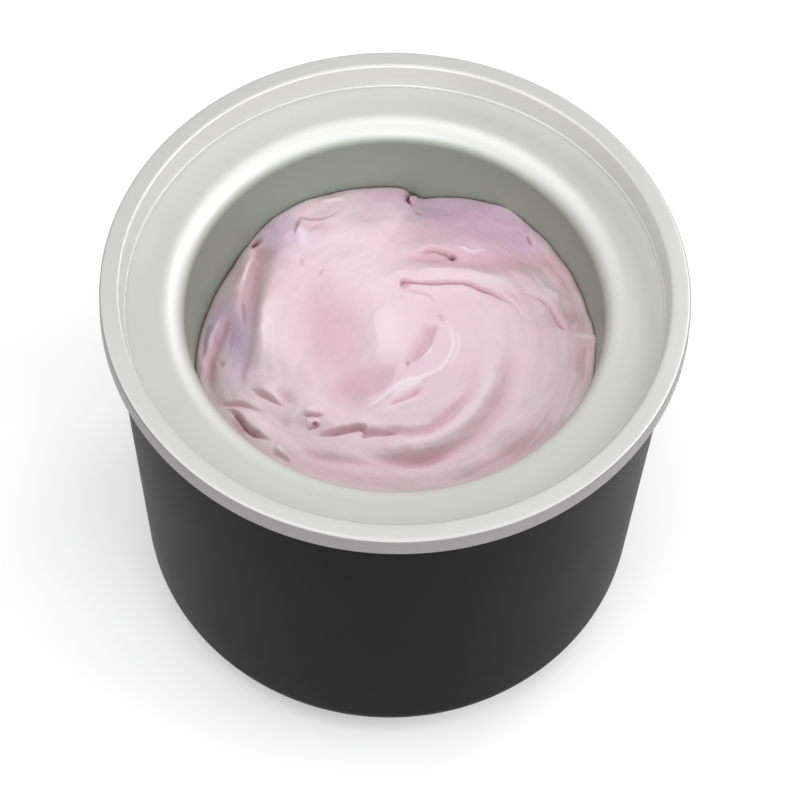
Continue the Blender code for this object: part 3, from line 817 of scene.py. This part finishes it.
def swirl(s):
    """Broad grooves that wind round the near right side, with painted shade in them and in a band by the near
    wall, painted highlights on the ridges between them, and a red berry speck.
    """
    outer = [(0.41, 0.16), (0.415, 0.08), (0.415, 0.0), (0.412, -0.08), (0.400, -0.15), (0.375, -0.22),
             (0.34, -0.285), (0.30, -0.335), (0.25, -0.385), (0.20, -0.42), (0.13, -0.452), (0.05, -0.467),
             (-0.04, -0.458), (-0.11, -0.435)]
    s.ridge(outer, 0.030, -3.0, (0.4, 0.25), 0.65)
    s.ridge(outer[8:], 0.018, -1.4, (0.3, 0.4), 0.5)
    s.fold(outer[3:][::-1], 0.06, 1.8, 0.022, (0.3, 0.3))
    inner = [(0.29, -0.08), (0.285, -0.14), (0.262, -0.20), (0.225, -0.25), (0.18, -0.298), (0.13, -0.335),
             (0.08, -0.353), (0.02, -0.352), (-0.05, -0.347)]
    s.ridge(inner, 0.018, -2.2, (0.4, 0.15), 0.7)
    s.fold(inner[3:][::-1], 0.045, 1.4, 0.014, (0.3, 0.2))
    s.ridge([(0.345, 0.05), (0.35, -0.05), (0.335, -0.15), (0.29, -0.24), (0.23, -0.32), (0.14, -0.385),
             (0.04, -0.408), (-0.05, -0.405)], 0.026, 1.6, (0.4, 0.2), -0.3)
    hook = [(-0.26, -0.384), (-0.20, -0.371), (-0.15, -0.357), (-0.105, -0.343), (-0.086, -0.350),
            (-0.080, -0.368)]
    s.crease(hook, 2.2, 0.0075, 2.0, (0.4, 0.08), 1.2)
    s.crease([(-0.092, -0.384), (-0.075, -0.366), (-0.03, -0.358), (0.05, -0.36)],
             1.8, 0.008, 0.6, (0.1, 0.5), 0.9)
    s.crease([(-0.30, -0.312), (-0.26, -0.305), (-0.22, -0.299)], 1.4, 0.005, 1.0)
    s.crease([(-0.29, -0.357), (-0.26, -0.350), (-0.235, -0.335)], 1.4, 0.005, 1.0)
    s.patch((-0.258, -0.340), (0.010, 0.004), 15, 0, 3.5)
    # painted shade: a sunk, darker band along the near right wall
    s.patch((0.42, -0.43), (0.16, 0.045), 34, -3.0, 0.75)


def upper_side(s):
    """The long lipped crease above the swirl, the dimple and the flap on the right, with painted shade in the
    creases and the dimple and painted highlights on the raised lines and the flap.
    """
    top = [(0.012, 0.258), (0.022, 0.284), (0.06, 0.276), (0.12, 0.278), (0.20, 0.286), (0.26, 0.280),
           (0.31, 0.262), (0.36, 0.240), (0.41, 0.205), (0.45, 0.165), (0.475, 0.12)]
    s.crease(top, 2.0, 0.0065, 2.0, (0.03, 0.5), 0.95, 7)
    s.patch((0.028, 0.262), (0.018, 0.016), 0, -1.6, 0.9)
    s.ridge([(0.05, 0.320), (0.15, 0.322), (0.26, 0.318), (0.36, 0.295), (0.44, 0.25)],
            0.030, 1.4, (0.3, 0.3), -0.45)
    s.crease([(0.02, 0.242), (0.07, 0.238), (0.12, 0.222), (0.17, 0.185)], 0.9, 0.006, 0.6, (0.2, 0.5), 0.4)
    s.crease([(0.06, 0.408), (0.12, 0.424), (0.165, 0.420), (0.198, 0.402), (0.225, 0.408)], 1.6, 0.008, 1.0,
             (0.3, 0.3), 0.9)
    s.patch((0.198, 0.400), (0.012, 0.009), 0, -1.2, 1.5)
    s.patch((0.10, 0.388), (0.09, 0.022), 4, -1.6, 0.7)
    s.ridge([(0.19, 0.445), (0.23, 0.44), (0.28, 0.424), (0.34, 0.450)], 0.007, 0.8, (0.3, 0.3), -0.8)
    s.patch((0.33, 0.38), (0.22, 0.05), 4, -1.6, 0.45)
    flap = [(0.45, 0.262), (0.50, 0.240), (0.54, 0.210), (0.565, 0.170), (0.59, 0.128), (0.612, 0.098)]
    s.crease(flap, 1.2, 0.0060, 1.8, (0.4, 0.15), 0.6, 8)
    s.patch((0.550, 0.250), (0.085, 0.040), -42, 0.9, -0.3)
    s.fold([(0.74, 0.09), (0.66, 0.09), (0.60, 0.10)], 0.09, 1.6, 0.004, (0.0, 0.4), 0.3)
    s.ridge([(0.63, 0.08), (0.67, 0.08), (0.71, 0.08)], 0.009, 0.3, (0.3, 0.1), -0.8)
    s.crease([(0.474, 0.512), (0.480, 0.49), (0.488, 0.462)], 1.3, 0.005)
    s.patch((0.675, -0.02), (0.04, 0.12), 0, -1.2, 0.6)


def far_side(s):
    """The notch and curl at the far edge, and the thin fold on the far left, with painted shade in the
    creases and the notch and painted highlights on pale flecks and edges.
    """
    s.crease([(0.060, 0.667), (0.03, 0.666), (0.024, 0.648), (0.033, 0.632), (0.052, 0.624)], 3.0, 0.006, 1.6,
             (0.1, 0.3), 2.2)
    s.crease([(0.05, 0.598), (0.066, 0.588), (0.085, 0.585)], 1.2, 0.005, 0.0, (0.3, 0.3), 1.3)
    s.fold([(0.06, 0.60), (0.03, 0.625), (0.02, 0.655), (0.02, 0.70)], 0.16, 2.0, 0.006, (0.3, 0.0))
    s.crease([(-0.225, 0.59), (-0.25, 0.556), (-0.28, 0.541), (-0.33, 0.535), (-0.370, 0.537),
              (-0.377, 0.50), (-0.386, 0.445)], 1.2, 0.005, 1.1, (0.4, 0.2), 0.9)
    # painted highlight: a pale patch on the raised part
    s.patch((-0.36, 0.455), (0.018, 0.04), 0, 0.6, -0.9, 0.3)
    s.patch((-0.31, 0.505), (0.05, 0.02), 0, -0.7, 0.7)
    s.ridge([(-0.31, 0.612), (-0.25, 0.63), (-0.20, 0.64)], 0.008, 0.6, (0.3, 0.3), -0.6)
    s.crease([(-0.357, 0.355), (-0.345, 0.32)], 0.4, 0.006, 0.2, (0.3, 0.3), 0.5)
    s.crease([(-0.275, 0.325), (-0.285, 0.285)], 0.4, 0.006, 0.2, (0.3, 0.3), 0.5)


def tints(s):
    """Lilac where the berry juice shows, and darker pink patches that are partly the ice's own tone and
    partly painted shade.
    """
    s.patch((0.30, 0.56), (0.18, 0.10), -18, 0, 0.55, 0.9, 2.4)
    s.patch((0.13, 0.59), (0.07, 0.05), 0, 0, 0, 0.45)
    s.patch((0.45, 0.46), (0.06, 0.05), -30, 0, 0, 0.5)
    s.patch((-0.45, 0.47), (0.07, 0.09), -25, 0, 0, 0.6)
    s.patch((-0.555, -0.01), (0.045, 0.12), 4, 0, 0, 0.9)
    s.patch((-0.635, 0.06), (0.03, 0.09), -8, 0, 0, 0.6)
    s.patch((-0.59, 0.24), (0.035, 0.09), -20, 0, 0.1)
    s.patch((0.12, 0.50), (0.16, 0.06), 0, 0, 0.5)
    s.patch((0.35, 0.40), (0.24, 0.07), 0, 0, 0.55)
    s.patch((0.60, 0.33), (0.06, 0.12), 30, 0, 0.45)
    s.patch((0.64, 0.14), (0.05, 0.06), 0, 0, 0.6)
    s.patch((-0.05, 0.64), (0.12, 0.04), 0, 0, 0.35, 0.2)
    s.patch((-0.15, -0.53), (0.40, 0.05), -5, 0, 0.35)


def spatula_marks(s):
    """Fine parallel marks that follow the swirl, and a slight all-over unevenness."""
    x, y = s.x - 0.02, s.y - 0.02
    away = np.hypot(x, y * 1.05)
    turn = np.arctan2(y, x)
    lines = ripple(away * 1.0, turn * 0.035, 0.016, 11) + 0.7 * ripple(away, turn * 0.05, 0.034, 12)
    strength = np.clip((away - 0.18) / 0.15, 0, 1) * (0.35 + 0.65 * np.clip(np.cos(turn + 0.4), 0, 1))
    s.height += 0.07 * lines * strength
    streaks = ripple(away, turn * 0.03, 0.055, 13)
    spread = np.clip((away - 0.24) / 0.1, 0, 1) * (0.25 + 0.75 * np.clip(np.cos(turn + 0.35), 0, 1))
    s.height += 0.22 * streaks * spread
    s.tint_and_painted_light += 0.12 * streaks * spread
    s.height += 0.45 * ripple(s.x, s.y, 0.18, 21) + 0.07 * ripple(s.x, s.y, 0.05, 22)
    s.height += 0.02 * ripple(s.x, s.y, 0.018, 23)


def sculpt(s):
    """All the work on the surface, from the heap as a whole to the finest marks, and its rounded edge."""
    broad_form(s)
    s.look_from_camera()
    for work in (left_gutter, lower_left, hollow, crest, swirl, upper_side, far_side, tints, spatula_marks):
        work(s)
    s.height -= EDGE_DROP * np.exp(-(1 - s.share) / EDGE_DROP_REACH)


def batch():
    """The sculpted top joined to a side that follows the wall and a flat underside."""
    surface = Surface(BATCH_CELLS)
    sculpt(surface)
    count = BATCH_CELLS + 1
    top_z = np.minimum(surface.height * MM, BATCH[1][2])
    spread = (wall_radius(top_z) - BATCH_GAP) / (EDGE * RIM_RADIUS)
    spread = RIM_RADIUS * (1 + (spread - 1) * surface.share**4)
    top = np.stack([surface.true_x * spread, surface.true_y * spread, top_z], -1).reshape(-1, 3)
    index = np.arange(count * count).reshape(count, count)
    quads = np.stack([index[:-1, :-1], index[:-1, 1:], index[1:, 1:], index[1:, :-1]], -1).reshape(-1, 4)
    ring = np.concatenate([index[0, :-1], index[:-1, -1], index[-1, :0:-1], index[:0:-1, 0]])
    edge = top[ring]
    turn = np.arctan2(edge[:, 1], edge[:, 0])
    corner_centre = (CORNER_RADIUS - BOWL_CORNER, BOWL_FLOOR + BOWL_CORNER)
    corner = arc(corner_centre, BOWL_CORNER - BATCH_GAP, 0, -90, 7)
    levels = 8
    rows, faces, last, base = [top], [quads], ring, count * count
    for k in range(1, levels + len(corner)):
        if k < levels:
            z = edge[:, 2] + (corner[0][1] - edge[:, 2]) * k / levels
            r = wall_radius(z) - BATCH_GAP
        else:
            r, z = (np.full(len(ring), value) for value in corner[k - levels])
        rows.append(np.stack([r * np.cos(turn), r * np.sin(turn), z], -1))
        here = base + np.arange(len(ring))
        base += len(ring)
        faces.append(np.stack([last, here, np.roll(here, -1), np.roll(last, -1)], -1))
        last = here
    mesh = bpy.data.meshes.new("batch")
    mesh.from_pydata(np.vstack(rows), [], [tuple(f) for f in np.vstack(faces)] + [tuple(last[::-1])])
    for name, values in (("tint_and_painted_light", surface.tint_and_painted_light), ("lilac", surface.lilac)):
        layer = mesh.attributes.new(name, "FLOAT", "POINT")
        full = np.zeros(len(mesh.vertices), np.float32)
        full[: count * count] = values.reshape(-1)
        layer.data.foreach_set("value", full)
    mesh.shade_smooth()
    mesh.set_sharp_from_angle(angle=math.radians(BATCH_EDGE_ANGLE))
    piece = bpy.data.objects.new("batch", mesh)
    bpy.context.collection.objects.link(piece)
    return piece


# ---- Put together ----

def place(piece, body, node, slot, look):
    """Gives a piece its material, hangs it on its body and hides the CAD node it stands in for. The slot is
    not used.
    """
    piece.data.materials.clear()
    piece.data.materials.append(look)
    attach(piece, body)
    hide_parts(node)


def repaint(nodes, look):
    """Gives CAD nodes that keep their own shape a better material."""
    for name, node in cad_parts.items():
        if name.startswith(nodes):
            node.data.materials.clear()
            node.data.materials.append(look)


make_camera()
make_lights()
make_floor()
place(collar(), "bowl", "collar_ring", "light_plastic", collar_finish())
place(inner_bowl(), "bowl", "inner_bowl", "bowl_metal", bowl_finish())
place(shell(), "bowl", "outer_shell", "charcoal_plastic", shell_finish())
place(batch(), "ice_cream", "ice_cream", "ice", batch_finish())
rubber = plain_finish("rubber_finish", (0.02, 0.02, 0.02), (0.03, 0.03, 0.03), 0.7, 1500)
for name in FEET:
    place(foot(name), "bowl", name, "rubber", rubber)
repaint(("rim_gasket", "collar_seal", "fill_plug_o_ring"), rubber)
repaint(("coolant_jacket", "fill_plug"),
        plain_finish("jacket_finish", (0.72, 0.72, 0.70), (0.8, 0.8, 0.78), 0.5, 1200))
repaint(("coolant_gel",), plain_finish("gel_finish", (0.25, 0.45, 0.65), (0.35, 0.55, 0.75), 0.2, 300))
repaint(("foam",), plain_finish("foam_finish", (0.80, 0.79, 0.74), (0.9, 0.89, 0.85), 0.9, 500))
repaint(("shell_screw",), plain_finish("steel_finish", (0.5, 0.5, 0.52), (0.62, 0.62, 0.64), 0.3, 2500, 1.0))
repaint(("shell_insert",),
        plain_finish("brass_finish", (0.62, 0.44, 0.18), (0.74, 0.55, 0.24), 0.35, 2500, 1.0))
